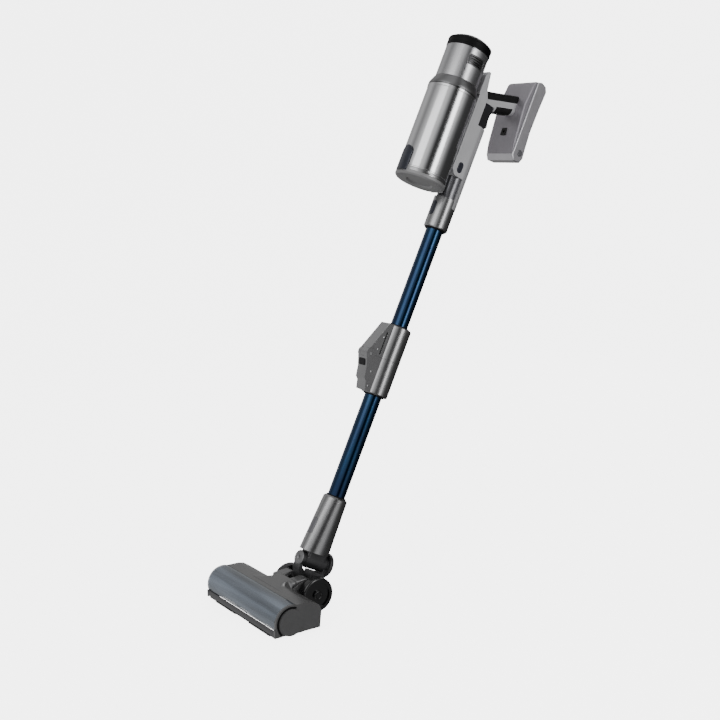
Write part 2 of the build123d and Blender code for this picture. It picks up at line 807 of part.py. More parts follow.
with BuildPart() as lower_tube:
    turned(
        0,
        (TUBE_R - TUBE_WALL, 116),
        (TUBE_R, 116),
        (TUBE_R, FOLD_U - 20),
        (TUBE_R - TUBE_WALL, FOLD_U - 20),
    )
keep(lower_tube, "lower_tube")

# =============================================================== neck
BARREL_R = 15.5
SLEEVE_LOW = 71.0
SHIFT_LOW = -3.7  # how far the sleeve's lower end stands in front of the tube's axis
NECK_BTN_U = 121.0
EAR_FRONT = -25.0
EAR_BACK = 24.0


def swivel_cylinder(radius, r_back, length, mode=Mode.ADD):
    """A cylinder on the swivel pin's line, from r_back towards the front."""
    with BuildSketch(frontal(r_back, SWIVEL_U)) as round_face:
        Circle(radius)
    extrude(round_face.sketch, amount=length, mode=mode)


def sleeve_taper(grow):
    """The sleeve's outside, from its oval lower end to its round top, larger by grow all round."""
    with BuildPart() as taper:
        with BuildSketch(across(SLEEVE_LOW, SHIFT_LOW)) as low_end:
            Ellipse(NECK_R + grow, 32.3 + grow)
        with BuildSketch(across(NECK_HIGH - 3)) as high_end:
            Circle(NECK_R + grow)
        loft([low_end.sketch.face(), high_end.sketch.face()])
    return taper


with BuildPart() as neck_sleeve:
    add(sleeve_taper(0))
    turned(0, (0, NECK_HIGH - 3), (NECK_R, NECK_HIGH - 3), (NECK_R - 3, NECK_HIGH), (0, NECK_HIGH))
    # bore for the tube, and the air's way down
    with BuildSketch(across(116)):
        Circle(TUBE_R + 0.02)
    extrude(amount=100, mode=Mode.SUBTRACT)
    with BuildSketch(across(SLEEVE_LOW - 1)):
        Circle(TUBE_R - 2)
    extrude(amount=60, mode=Mode.SUBTRACT)
    with BuildSketch(frontal(-24, NECK_BTN_U)):
        RectangleRounded(16 + 2 * FIT, 31 + 2 * FIT, 4)
    extrude(amount=20, mode=Mode.SUBTRACT)
keep(neck_sleeve, "neck_sleeve")

with BuildPart() as neck_button:
    with BuildSketch(frontal(-27, NECK_BTN_U)):
        RectangleRounded(16, 31, 3.7)
    extrude(amount=20)
    add(sleeve_taper(0.7), mode=Mode.INTERSECT)
keep(neck_button, "neck_button")

with BuildPart() as neck_barrel:
    swivel_cylinder(BARREL_R, EAR_BACK - FIT, EAR_BACK - EAR_FRONT - 2 * FIT)
    with BuildSketch(across(SWIVEL_U, -0.5)):
        RectangleRounded(29, 46, 5)
    extrude(amount=SLEEVE_LOW - 0.02 - SWIVEL_U)
    # the discs of the yoke turn in front of the barrel and behind it
    swivel_cylinder(3.5 + RUN, 60, 120, Mode.SUBTRACT)
    with BuildSketch(across(SWIVEL_U + 8)):
        Circle(TUBE_R - 4)
    extrude(amount=40, mode=Mode.SUBTRACT)
keep(neck_barrel, "neck_barrel")

AXLE_R = 4.0
DRUM_R = 19.0
DRUM_HALF = 28.0

with BuildPart() as yoke:
    with BuildSketch(upright(-DRUM_HALF)):
        Circle(DRUM_R)
    extrude(amount=2 * DRUM_HALF)
    with BuildSketch(upright(-11)):
        outline((-33, 53), (EAR_FRONT, 53), (EAR_FRONT, 36), (-10, 14), (-18, 6), (-33, 32))
    extrude(amount=22)
    with BuildSketch(upright(-13)):
        outline((EAR_BACK, 53), (36, 53), (36, 38), (30, 18), (16, 0), (0, 10), (-1, 35.4), (EAR_BACK, 35.4))
    extrude(amount=26)
    swivel_cylinder(15, EAR_FRONT, 8)
    swivel_cylinder(15, 29, 29 - EAR_BACK)
    swivel_cylinder(24, 36, 7)
    swivel_cylinder(3.52, 60, 120, Mode.SUBTRACT)
    with BuildSketch(upright(-40)):
        Circle(AXLE_R + RUN)
    extrude(amount=80, mode=Mode.SUBTRACT)
keep(yoke, "yoke")

with BuildPart() as swivel_pin:
    swivel_cylinder(3.5, 35, 67)
    swivel_cylinder(6, 37.5, 1.5)
keep(swivel_pin, "swivel_pin")

# =============================================================== floor head: shells
TAIL = [(-44, 6), (-40.5, 38), (-46, 50), (-58, 57.5), (-70, 60), (-95, 60)]
BODY_HALF = HEAD_HALF - CAP_THICK
MOUTH_FRONT = -131.0
MOUTH_BACK = -82.0


def roller_cylinder(radius, start, length, mode=Mode.ADD):
    """A cylinder on the roller's axis, from start along X."""
    with BuildSketch(beside(start, ROLLER_Y, ROLLER_Z)) as round_face:
        Circle(radius)
    extrude(round_face.sketch, amount=length, mode=mode)


with BuildPart() as head_housing:
    with BuildSketch(beside(-BODY_HALF)):
        outline(*TAIL, (-95, 28), (MOUTH_BACK, 6))
    extrude(amount=2 * BODY_HALF)
    with BuildSketch(beside(-BODY_HALF + 8)):
        outline((-48, 9), (-43.5, 37.5), (-48, 47.5), (-59, 54.5), (-68, 57), (-90, 57), (-78, 9))
    extrude(amount=2 * BODY_HALF - 16, mode=Mode.SUBTRACT)
    # the curved wall behind the roller
    with BuildSketch(beside(-BODY_HALF, ROLLER_Y, ROLLER_Z)):
        Circle(COVER_R)
    extrude(amount=2 * BODY_HALF)
    with BuildSketch(beside(-BODY_HALF)):
        outline((-200, -50), (-200, 90), (-95, 90), (-95, -50))
    extrude(amount=2 * BODY_HALF, mode=Mode.SUBTRACT)
    with BuildSketch(beside(-BODY_HALF)):
        outline((-200, -50), (-200, 6), (-60, 6), (-60, -50))
    extrude(amount=2 * BODY_HALF, mode=Mode.SUBTRACT)
    roller_cylinder(COVER_R - 2.3, -BODY_HALF - 1, 2 * BODY_HALF + 2, Mode.SUBTRACT)
    # outlet for the dusty air, and a slot for the belt at the left end
    with BuildSketch(Plane(origin=(0, PIVOT_Y - 90, 30), x_dir=(1, 0, 0), z_dir=(0, 1, 0))):
        Circle(14.02)
    extrude(amount=70, mode=Mode.SUBTRACT)
    with BuildSketch(beside(-BODY_HALF + 0.5)):
        outline((-90, 12), (-90, 46), (-48, 42), (-48, 20))
    extrude(amount=9, mode=Mode.SUBTRACT)
keep(head_housing, "head_housing")

with BuildPart() as head_duct:
    with BuildSketch(Plane(origin=(0, PIVOT_Y - 76, 30), x_dir=(1, 0, 0), z_dir=(0, 1, 0))):
        Circle(14)
        Circle(12, mode=Mode.SUBTRACT)
    extrude(amount=53.5)
    roller_cylinder(COVER_R - 2.3, -20, 40, Mode.SUBTRACT)
keep(head_duct, "head_duct")

with BuildPart() as base_plate:
    with BuildSketch(level(BASE_Z, -92)):
        RectangleRounded(2 * BODY_HALF, 94, 4)
    extrude(amount=2.48)
    with BuildSketch(level(0, (MOUTH_FRONT + MOUTH_BACK) / 2)):
        RectangleRounded(2 * ROLLER_HALF + 4, MOUTH_BACK - MOUTH_FRONT, 5)
    extrude(amount=10, mode=Mode.SUBTRACT)
    # recesses over the plate's screws
    with BuildSketch(level(0, -63)):
        with GridLocations(80, 18, 3, 2):
            Circle(3.5)
    extrude(amount=BASE_Z + 1, mode=Mode.SUBTRACT)
keep(base_plate, "base_plate")

with BuildPart() as glide_strips:
    with BuildSketch(level(0, -49)):
        with GridLocations(130, 0, 2, 1):
            SlotOverall(80, 6)
    with BuildSketch(level(0, -135)):
        with GridLocations(130, 0, 2, 1):
            SlotOverall(80, 4)
    extrude(amount=BASE_Z)
keep(glide_strips, "glide_strips")

with BuildPart() as roller_window:
    with BuildSketch(beside(-HEAD_HALF, ROLLER_Y, ROLLER_Z)):
        Circle(COVER_R - 0.1)
        Circle(COVER_R - 2.2, mode=Mode.SUBTRACT)
        outline((10.9, -60), (60, -60), (60, 60), (10.9, 60), mode=Mode.SUBTRACT)
        outline((-60, -10), (60, -10), (60, -60), (-60, -60), mode=Mode.SUBTRACT)
    extrude(amount=HEAD_HALF + BODY_HALF - FIT)
keep(roller_window, "roller_window")

with BuildPart() as front_lip:
    with BuildSketch(beside(-BODY_HALF)):
        outline((HEAD_FRONT + 2, 6), (HEAD_FRONT, 8), (HEAD_FRONT, 13), (-139.6, 17.6), (-137.4, 17.6), (-136.5, 12), (-134, 6))
    extrude(amount=2 * BODY_HALF)
keep(front_lip, "front_lip")


def end_cap(start, amount, under_window):
    """One end of the floor head, with a round cover over the roller's end."""
    outer = start + amount
    step = 1.2 if amount > 0 else -1.2
    with BuildPart() as cap:
        with BuildSketch(beside(start)) as side:
            outline((HEAD_FRONT, 5), *TAIL, (-95, 28), (HEAD_FRONT, 20))
            with Locations((ROLLER_Y, ROLLER_Z)):
                Circle(COVER_R)
            outline((HEAD_FRONT, 5), (HEAD_FRONT, 18), (-130, 18), (-130, 5))
            with Locations((-92, -20)):
                Rectangle(140, 50, mode=Mode.SUBTRACT)
        extrude(side.sketch, amount=amount - step)
        with BuildSketch(beside(outer - step, ROLLER_Y, ROLLER_Z)) as cover:
            Circle(25)
        extrude(cover.sketch, amount=step)
        with BuildSketch(beside(outer - step - step, ROLLER_Y, ROLLER_Z)) as groove:
            Circle(30.5)
            Circle(26, mode=Mode.SUBTRACT)
            outline((12, -60), (60, -60), (60, 60), (12, 60), mode=Mode.SUBTRACT)
        extrude(groove.sketch, amount=3 * step, mode=Mode.SUBTRACT)
        if under_window:
            with BuildSketch(beside(start, ROLLER_Y, ROLLER_Z)) as rim:
                Circle(COVER_R + 12)
                Circle(COVER_R - 2.4, mode=Mode.SUBTRACT)
                outline((10.9, -60), (60, -60), (60, 60), (10.9, 60), mode=Mode.SUBTRACT)
                outline((-60, -10.2), (60, -10.2), (60, -60), (-60, -60), mode=Mode.SUBTRACT)
            extrude(rim.sketch, amount=amount, mode=Mode.SUBTRACT)
    return cap


end_cap_right = end_cap(BODY_HALF, CAP_THICK, False)
keep(end_cap_right, "end_cap_right")
end_cap_left = end_cap(-BODY_HALF, -CAP_THICK, True)
keep(end_cap_left, "end_cap_left")

FORK_IN = DRUM_HALF + FIT
FORK_OUT = 37.0
with BuildPart() as neck_fork:
    with BuildSketch(beside(-FORK_OUT)):
        outline(
            (-43.1, 14),
            (-40.5, 38),
            (-46, 50),
            (-30, 57),
            (-12, 64.5),
            (6, 50),
            (13, 34),
            (9, 24),
            (0, 21),
            (-14, 16),
        )
    extrude(amount=2 * FORK_OUT)
    with BuildSketch(beside(-FORK_IN)):
        outline((-39, 0), (-39, 48), (-46, 47.3), (-30, 54), (-12, 61.5), (-8, 80), (40, 80), (40, 0))
    extrude(amount=2 * FORK_IN, mode=Mode.SUBTRACT)
    with BuildSketch(level(50, -10)):
        Rectangle(27, 52)
    extrude(amount=60, mode=Mode.SUBTRACT)
    with BuildSketch(Plane(origin=(0, PIVOT_Y - 60, 30), x_dir=(1, 0, 0), z_dir=(0, 1, 0))):
        Circle(14.02)
    extrude(amount=40, mode=Mode.SUBTRACT)
    with BuildSketch(beside(-50, 0, PIVOT_Z)):
        Circle(AXLE_R + 0.02)
    extrude(amount=100, mode=Mode.SUBTRACT)
keep(neck_fork, "neck_fork")

# =============================================================== floor head: wheels
with BuildPart() as wheel_axle:
    with BuildSketch(upright(-54)):
        Circle(AXLE_R)
    extrude(amount=108)
keep(wheel_axle, "wheel_axle")


def big_wheel(inner, width):
    """A big wheel with a dished outer face, its inner face at inner."""
    with BuildPart() as wheel:
        with BuildSketch(upright(inner)) as face:
            Circle(WHEEL_R)
        extrude(face.sketch, amount=width)
        fillet(wheel.edges().filter_by(GeomType.CIRCLE), 4)
        with BuildSketch(upright(inner + width)) as dish:
            Circle(25)
            Circle(10, mode=Mode.SUBTRACT)
        extrude(dish.sketch, amount=-width / 6, mode=Mode.SUBTRACT)
        with BuildSketch(upright(inner)) as bore:
            Circle(AXLE_R + RUN)
        extrude(bore.sketch, amount=width * 0.85, mode=Mode.SUBTRACT)
    return wheel


wheel_right = big_wheel(WHEEL_IN, WHEEL_WIDTH)
keep(wheel_right, "wheel_right")
wheel_left = big_wheel(-WHEEL_IN, -WHEEL_WIDTH)
keep(wheel_left, "wheel_left")

# =============================================================== floor head: roller and its drive
MOTOR_Y = -58.5
MOTOR_Z = 31.0
PULLEY_BIG = 12.0
PULLEY_SMALL = 6.0
BELT_X = -124.5
BELT_WIDE = 6.0
ROTOR_R = 9.0

with BuildPart() as roller_core:
    roller_cylinder(13, -ROLLER_HALF, 2 * ROLLER_HALF)
    roller_cylinder(PULLEY_BIG - FIT, -ROLLER_HALF, -(BODY_HALF - 0.6 - ROLLER_HALF))
    roller_cylinder(6, ROLLER_HALF, BODY_HALF - 0.6 - ROLLER_HALF)
keep(roller_core, "roller_core")

with BuildPart() as roller_pile:
    roller_cylinder(23.5, -ROLLER_HALF, 2 * ROLLER_HALF)
    # four rows of bristle that step round the roller
    for step in range(6):
        with BuildSketch(beside(-ROLLER_HALF + step * ROLLER_HALF / 3, ROLLER_Y, ROLLER_Z)):
            with PolarLocations(0, 4, start_angle=12 * step):
                with Locations((25, 0)):
                    Rectangle(3.9, 4)
        extrude(amount=ROLLER_HALF / 3)
    roller_cylinder(13.02, -ROLLER_HALF - 1, 2 * ROLLER_HALF + 2, Mode.SUBTRACT)
keep(roller_pile, "roller_pile")

with BuildPart() as brush_motor:
    with BuildSketch(beside(-112, MOTOR_Y, MOTOR_Z)):
        Circle(12.5)
    extrude(amount=58)
    with BuildSketch(beside(-109, MOTOR_Y, MOTOR_Z)):
        Circle(ROTOR_R + FIT)
    extrude(amount=52, mode=Mode.SUBTRACT)
    with BuildSketch(beside(-113, MOTOR_Y, MOTOR_Z)):
        Circle(1.5 + RUN)
    extrude(amount=12, mode=Mode.SUBTRACT)
keep(brush_motor, "brush_motor")

with BuildPart() as brush_pulley:
    with BuildSketch(beside(BELT_X, MOTOR_Y, MOTOR_Z)):
        Circle(PULLEY_SMALL - FIT)
    extrude(amount=BELT_WIDE)
    with BuildSketch(beside(BELT_X + BELT_WIDE, MOTOR_Y, MOTOR_Z)):
        Circle(1.5)
    extrude(amount=15)
    # the motor's rotor, on the same shaft
    with BuildSketch(beside(-108, MOTOR_Y, MOTOR_Z)):
        Circle(ROTOR_R)
    extrude(amount=50)
keep(brush_pulley, "brush_pulley")

with BuildPart() as brush_belt:
    with BuildSketch(beside(BELT_X + 0.5)):
        with Locations((ROLLER_Y, ROLLER_Z)):
            Circle(PULLEY_BIG + 1.4)
        with Locations((MOTOR_Y, MOTOR_Z)):
            Circle(PULLEY_SMALL + 1.4)
        make_hull()
    extrude(amount=BELT_WIDE - 1)
    with BuildSketch(beside(BELT_X)):
        with Locations((ROLLER_Y, ROLLER_Z)):
            Circle(PULLEY_BIG)
        with Locations((MOTOR_Y, MOTOR_Z)):
            Circle(PULLEY_SMALL)
        make_hull()
    extrude(amount=BELT_WIDE, mode=Mode.SUBTRACT)
keep(brush_belt, "brush_belt")
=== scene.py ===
import json
import math
import random
import bpy
import bmesh
from mathutils import Matrix, Vector


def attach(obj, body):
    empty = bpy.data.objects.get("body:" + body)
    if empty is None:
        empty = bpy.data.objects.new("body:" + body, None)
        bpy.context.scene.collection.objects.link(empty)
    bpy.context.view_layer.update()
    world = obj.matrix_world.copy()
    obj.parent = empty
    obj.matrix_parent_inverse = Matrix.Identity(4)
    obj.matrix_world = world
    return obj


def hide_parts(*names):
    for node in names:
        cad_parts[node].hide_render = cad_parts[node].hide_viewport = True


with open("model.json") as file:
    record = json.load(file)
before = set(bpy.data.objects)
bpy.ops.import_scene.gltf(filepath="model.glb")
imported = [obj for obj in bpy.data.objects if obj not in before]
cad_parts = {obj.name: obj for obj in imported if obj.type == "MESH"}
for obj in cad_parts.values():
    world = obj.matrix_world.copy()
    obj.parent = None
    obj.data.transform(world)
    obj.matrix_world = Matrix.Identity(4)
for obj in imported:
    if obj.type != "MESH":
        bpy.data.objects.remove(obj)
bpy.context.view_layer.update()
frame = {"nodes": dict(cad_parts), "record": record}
NODES = frame["nodes"]
random.seed(7)

# ---------------------------------------------------------------- the wand's own directions
LEAN = math.radians(25)
PIVOT = Vector((0, -0.2175, 0.034))
R_DIR = Vector((0, math.cos(LEAN), -math.sin(LEAN)))
U_DIR = Vector((0, math.sin(LEAN), math.cos(LEAN)))
BIN_R = -77.0  # the bin's own axis, in front of the wand's
AXLE_Z = 34.0  # the wheels' axle, in the head's millimetres
ROLLER_Y, ROLLER_Z = -106.0, 28.0  # the roller's axis
GAP_FACE = 130.5  # how far out the gap in the right end cap lies, where a black strip paints its shade

# radii of the surfaces that the trims sit on
BIN_SKIN = 51.4
MOTOR_SKIN = 43.9
CAP_SKIN = 44.9
WAND_SKIN = 17.9
SLEEVE_SKIN = 24.6
TYRE_SKIN = 33.75


def place(x, r, u):
    """A point from across, behind and along the wand, in millimetres."""
    return PIVOT + Vector((x / 1000, 0, 0)) + R_DIR * (r / 1000) + U_DIR * (u / 1000)


def in_head(x, y, z):
    """A point from the tilt axis of the floor head, in millimetres; z is from the floor."""
    return (x / 1000, PIVOT.y + y / 1000, z / 1000)


def turned(base, radius, angle, height):
    """A point at an angle and a height about the local Z of base, in millimetres."""
    return base @ Vector((radius * math.cos(angle) / 1000, radius * math.sin(angle) / 1000, height / 1000))


STICK = Matrix((
    (1, 0, 0, PIVOT.x),
    (0, R_DIR.y, U_DIR.y, PIVOT.y),
    (0, R_DIR.z, U_DIR.z, PIVOT.z),
    (0, 0, 0, 1),
))


# ---------------------------------------------------------------- materials
def material(name, base, rough=0.4, metallic=0.0, vary=0.12, scale=40.0, rough_vary=0.08,
             bump=0.0, bump_scale=400.0, coat=0.0, coat_rough=0.08, alpha=1.0,
             sheen=0.0, stretch=(1, 1, 1), ior=1.5, edge=None):
    """A procedural finish: uneven colour and roughness from noise, and a fine bump.

    base is the colour, vary and rough_vary the share and amount that noise of the given scale changes,
    stretch scales the noise along the wand's three directions (under 1 draws it out), and edge is a second
    colour in place of a lighter base.
    """
    finish = bpy.data.materials.new(name)
    finish.use_nodes = True
    tree = finish.node_tree
    shader = tree.nodes["Principled BSDF"]
    shader.inputs["Metallic"].default_value = metallic
    shader.inputs["Coat Weight"].default_value = coat
    shader.inputs["Coat Roughness"].default_value = coat_rough
    shader.inputs["Sheen Weight"].default_value = sheen
    shader.inputs["IOR"].default_value = ior
    shader.inputs["Alpha"].default_value = alpha
    where = tree.nodes.new("ShaderNodeTexCoord")
    turn = tree.nodes.new("ShaderNodeMapping")
    turn.inputs["Rotation"].default_value = (LEAN, 0, 0)
    turn.inputs["Scale"].default_value = stretch
    tree.links.new(where.outputs["Object"], turn.inputs["Vector"])
    noise = tree.nodes.new("ShaderNodeTexNoise")
    noise.inputs["Scale"].default_value = scale
    noise.inputs["Detail"].default_value = 5
    tree.links.new(turn.outputs["Vector"], noise.inputs["Vector"])
    ramp = tree.nodes.new("ShaderNodeValToRGB")
    low = [c * (1 - vary) for c in base]
    high = [min(1, c * (1 + vary)) for c in base]
    ramp.color_ramp.elements[0].position = 0.3
    ramp.color_ramp.elements[1].position = 0.7
    ramp.color_ramp.elements[0].color = (*low, 1)
    ramp.color_ramp.elements[1].color = (*(edge or high), 1)
    tree.links.new(noise.outputs["Fac"], ramp.inputs["Fac"])
    tree.links.new(ramp.outputs["Color"], shader.inputs["Base Color"])
    spread = tree.nodes.new("ShaderNodeMapRange")
    spread.inputs["To Min"].default_value = max(0.02, rough - rough_vary)
    spread.inputs["To Max"].default_value = min(1, rough + rough_vary)
    fine = tree.nodes.new("ShaderNodeTexNoise")
    fine.inputs["Scale"].default_value = scale * 2.7
    fine.inputs["Detail"].default_value = 3
    tree.links.new(turn.outputs["Vector"], fine.inputs["Vector"])
    tree.links.new(fine.outputs["Fac"], spread.inputs["Value"])
    tree.links.new(spread.outputs["Result"], shader.inputs["Roughness"])
    if bump:
        grain = tree.nodes.new("ShaderNodeTexNoise")
        grain.inputs["Scale"].default_value = bump_scale
        grain.inputs["Detail"].default_value = 2
        tree.links.new(turn.outputs["Vector"], grain.inputs["Vector"])
        relief = tree.nodes.new("ShaderNodeBump")
        relief.inputs["Strength"].default_value = bump
        relief.inputs["Distance"].default_value = 0.0004
        tree.links.new(grain.outputs["Fac"], relief.inputs["Height"])
        tree.links.new(relief.outputs["Normal"], shader.inputs["Normal"])
    return finish


# each: colour, roughness, metallic, vary, scale, rough_vary, bump, bump_scale
M = {
    "spine_grey": material("spine_grey", (0.60, 0.60, 0.615), 0.36, 0.4, 0.03, 25, 0.04, coat=0.15),
    "gunmetal": material("gunmetal", (0.44, 0.44, 0.45), 0.26, 0.9, 0.04, 18, 0.04, coat=0.1,
                         stretch=(1, 1, 0.15)),
    "shoulder_grey": material("shoulder_grey", (0.20, 0.20, 0.205), 0.32, 0.85, 0.05, 25, 0.05),
    "lid_grey": material("lid_grey", (0.27, 0.27, 0.275), 0.48, 0.3, 0.05, 25, 0.05),
    "bin_smoke": material("bin_smoke", (0.58, 0.58, 0.59), 0.17, 1.0, 0.10, 12, 0.04, stretch=(1, 1, 0.12)),
    "black_plastic": material("black_plastic", (0.008, 0.008, 0.009), 0.55, 0.0, 0.3, 60, 0.1, 0.15, 1400,
                              ior=1.35),
    "cap_black": material("cap_black", (0.002, 0.002, 0.0025), 0.5, 0.0, 0.3, 60, 0.06, 0.1, 1500, ior=1.25),
    "button_dark": material("button_dark", (0.022, 0.025, 0.040), 0.25, 0.35, 0.2, 60, 0.05, coat=0.3),
    "button_grey": material("button_grey", (0.20, 0.20, 0.215), 0.3, 0.7, 0.06, 60, 0.05, coat=0.2),
    "violet_black": material("violet_black", (0.005, 0.004, 0.009), 0.12, 0.0, 0.3, 50, 0.04, coat=0.6),
    "grip_rubber": material("grip_rubber", (0.005, 0.005, 0.0055), 0.65, 0.0, 0.3, 80, 0.1, 0.3, 1500,
                            ior=1.3),
    "seal_rubber": material("seal_rubber", (0.015, 0.015, 0.015), 0.7, 0.0, 0.3, 80, 0.1, 0.2, 1200),
    "tube_blue": material("tube_blue", (0.002, 0.022, 0.075), 0.2, 0.9, 0.15, 30, 0.04, coat=0.35,
                          coat_rough=0.08, stretch=(1, 1, 0.08), edge=(0.003, 0.045, 0.105)),
    "collar_grey": material("collar_grey", (0.30, 0.30, 0.305), 0.25, 0.9, 0.04, 25, 0.04, coat=0.1),
    "duct_grey": material("duct_grey", (0.16, 0.16, 0.17), 0.28, 0.85, 0.05, 25, 0.05),
    "elbow_grey": material("elbow_grey", (0.075, 0.075, 0.078), 0.34, 0.6, 0.1, 50, 0.06, coat=0.1),
    "disc_grey": material("disc_grey", (0.23, 0.23, 0.235), 0.32, 0.7, 0.05, 50, 0.05),
    "frame_dark": material("frame_dark", (0.32, 0.305, 0.335), 0.4, 0.5, 0.05, 40, 0.05, coat=0.1),
    "battery_grey": material("battery_grey", (0.56, 0.55, 0.58), 0.3, 0.8, 0.04, 25, 0.05, coat=0.1),
    "head_grey": material("head_grey", (0.145, 0.145, 0.147), 0.30, 0.55, 0.05, 30, 0.05, coat=0.25),
    "lip_grey": material("lip_grey", (0.07, 0.07, 0.075), 0.25, 0.6, 0.06, 30, 0.05, coat=0.3),
    "wheel_black": material("wheel_black", (0.003, 0.003, 0.004), 0.2, 0.0, 0.3, 60, 0.05, coat=0.4),
    "steel": material("steel", (0.50, 0.50, 0.51), 0.25, 1.0, 0.05, 60, 0.06),
    "motor_alloy": material("motor_alloy", (0.45, 0.45, 0.47), 0.45, 1.0, 0.05, 60, 0.08, 0.05, 1200),
    "brass": material("brass", (0.7, 0.5, 0.2), 0.25, 1.0, 0.1, 60),
    "board_green": material("board_green", (0.02, 0.14, 0.06), 0.4, 0.0, 0.3, 200),
    "cell_wrap": material("cell_wrap", (0.03, 0.2, 0.25), 0.35, 0.0, 0.15, 60),
    "filter_white": material("filter_white", (0.75, 0.75, 0.7), 0.9, 0.0, 0.1, 200, sheen=0.3),
    "pile": material("pile", (0.10, 0.12, 0.155), 0.85, 0.0, 0.4, 300, 0.1, 0.6, 1600, sheen=0.3),
    # the window: a smoky tint, with strong noise drawn out along the roller that paints streaks of reflection
    # across it
    "window_smoke": material("window_smoke", (0.19, 0.225, 0.275), 0.14, 0.5, 0.5, 70, 0.06, coat=0.7,
                             coat_rough=0.06, alpha=0.84, stretch=(0.05, 1, 1)),
    "felt": material("felt", (0.02, 0.02, 0.02), 0.95, 0.0, 0.4, 300, 0.05, 0.5, 2000, sheen=0.4),
}
FINISH = {sub["node"]: sub["material_slot"] for sub in frame["record"]["subparts"]}
FINISH.update({
    "filter_cap": "cap_black", "handle_frame": "frame_dark", "battery_case": "battery_grey",
    "battery_button": "button_grey", "shoulder_ring": "shoulder_grey", "bin_lid": "lid_grey",
    "spine_duct": "duct_grey", "exhaust_grilles": "elbow_grey", "front_lip": "lip_grey",
    "neck_button": "button_grey",
})

# the radius, in millimetres, that each node's corners are rounded by
SOFT_EDGES = {
    "spine_cover": 1.6, "handle_frame": 0.8, "battery_case": 1.0, "handle_bar": 0.6, "fold_upper": 1.2,
    "fold_lower": 1.2, "neck_fork": 1.5, "head_housing": 1.2, "end_cap_right": 1.4, "end_cap_left": 1.4,
    "yoke": 2.2, "bin_latch": 0.9, "trigger": 0.5, "base_plate": 0.6, "front_lip": 0.8, "shoulder_ring": 0.8,
    "bin_lid": 0.8, "wand_socket": 0.5, "neck_sleeve": 0.8, "neck_barrel": 2.0, "filter_cap": 0.6,
    "wand_release_button": 0.6,
    "neck_button": 0.6, "fold_button": 0.5, "bin_release_button": 0.3, "roller_window": 0.3, "grip_top": 0.5,
    "grip_bottom": 0.5, "wheel_right": 0.5, "wheel_left": 0.5, "motor_housing": 0.4, "swivel_pin": 0.4,
}


def soften(obj, width):
    """Joins the split edges of an imported node and rounds its corners."""
    weld = obj.modifiers.new("weld", "WELD")
    weld.merge_threshold = 0.00001
    bevel = obj.modifiers.new("round", "BEVEL")
    bevel.width = width / 1000
    bevel.segments = 3
    bevel.limit_method = "ANGLE"
    bevel.angle_limit = math.radians(35)
    bevel.harden_normals = False
    normals = obj.modifiers.new("normals", "WEIGHTED_NORMAL")
    normals.keep_sharp = False


for node, obj in NODES.items():
    obj.data.materials.clear()
    obj.data.materials.append(M[FINISH[node]])
    if node in SOFT_EDGES:
        soften(obj, SOFT_EDGES[node])


# ---------------------------------------------------------------- pieces too fine for the CAD
def mesh_object(name, verts, faces, mat, body, smooth=True):
    """A mesh from points in metres in the row frame, riding on a body."""
    data = bpy.data.meshes.new(name)
    data.from_pydata(verts, [], faces)
    data.update()
    obj = bpy.data.objects.new(name, data)
    bpy.context.scene.collection.objects.link(obj)
    bm = bmesh.new()
    bm.from_mesh(data)
    bmesh.ops.recalc_face_normals(bm, faces=bm.faces)
    bm.to_mesh(data)
    bm.free()
    if smooth:
        for poly in data.polygons:
            poly.use_smooth = True
    data.materials.append(M[mat])
    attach(obj, body)
    return obj


def lathe(name, profile, base, mat, body, segments=96):
    """Turns a closed profile of (radius, height) in millimetres about the local Z of base."""
    verts, faces = [], []
    count = len(profile)
    for i in range(segments):
        a = 2 * math.pi * i / segments
        for radius, height in profile:
            verts.append(turned(base, radius, a, height))
    for i in range(segments):
        j = (i + 1) % segments
        for k in range(count):
            m = (k + 1) % count
            faces.append((i * count + k, j * count + k, j * count + m, i * count + m))
    return mesh_object(name, verts, faces, mat, body)


def band(radius, low, high, thick, round_by=0.35):
    """The profile of a raised band with rounded corners."""
    outer = radius + thick
    points = [(radius - 0.4, low), (outer - round_by, low)]
    for step in range(1, 4):
        a = math.pi / 2 * step / 3
        points.append((outer - round_by + round_by * math.sin(a), low + round_by - round_by * math.cos(a)))
    for step in range(0, 4):
        a = math.pi / 2 * step / 3
        points.append((outer - round_by + round_by * math.cos(a), high - round_by + round_by * math.sin(a)))
    points.append((radius - 0.4, high))
    return points


def along_x(x, y, z):
    """A frame whose Z runs along +X, at a point of the floor head given from the tilt axis."""
    return Matrix.Translation(in_head(x, y, z)) @ Matrix.Rotation(math.radians(90), 4, "Y")


def on_stick(x, r, u, towards):
    """A frame at a point of the wand whose Z points towards a direction in metres."""
    spin = Vector(towards).to_track_quat("Z", "Y").to_matrix().to_4x4()
    return Matrix.Translation(place(x, r, u)) @ spin


def screw(name, base, radius, mat, body):
    """A domed screw head with a cross recess, seated at the origin of base."""
    verts, faces = [], []
    crown, recess, segments = 0.62, 0.6, 32
    rings = [(radius, -0.6), (radius, 0.25), (radius * 0.86, 0.5), (radius * 0.6, crown)]
    for rad, height in rings:
        for i in range(segments):
            a = 2 * math.pi * i / segments
            verts.append(turned(base, rad, a, height))
    for k in range(len(rings) - 1):
        for i in range(segments):
            j = (i + 1) % segments
            faces.append((k * segments + i, k * segments + j, (k + 1) * segments + j, (k + 1) * segments + i))
    start, last = len(verts), (len(rings) - 1) * segments
    for i in range(segments):
        a = 2 * math.pi * i / segments
        arm = abs(math.cos(2 * a)) > 0.82
        rad = radius * (0.55 if arm else 0.2)
        verts.append(turned(base, rad, a, crown))
    for i in range(segments):
        j = (i + 1) % segments
        faces.append((last + i, last + j, start + j, start + i))
    deep = len(verts)
    for i in range(segments):
        v = verts[start + i]
        verts.append(v - (base.to_3x3() @ Vector((0, 0, recess / 1000))))
    for i in range(segments):
        j = (i + 1) % segments
        faces.append((start + i, start + j, deep + j, deep + i))
    faces.append(tuple(range(deep, deep + segments)))
    return mesh_object(name, verts, faces, mat, body, smooth=False)


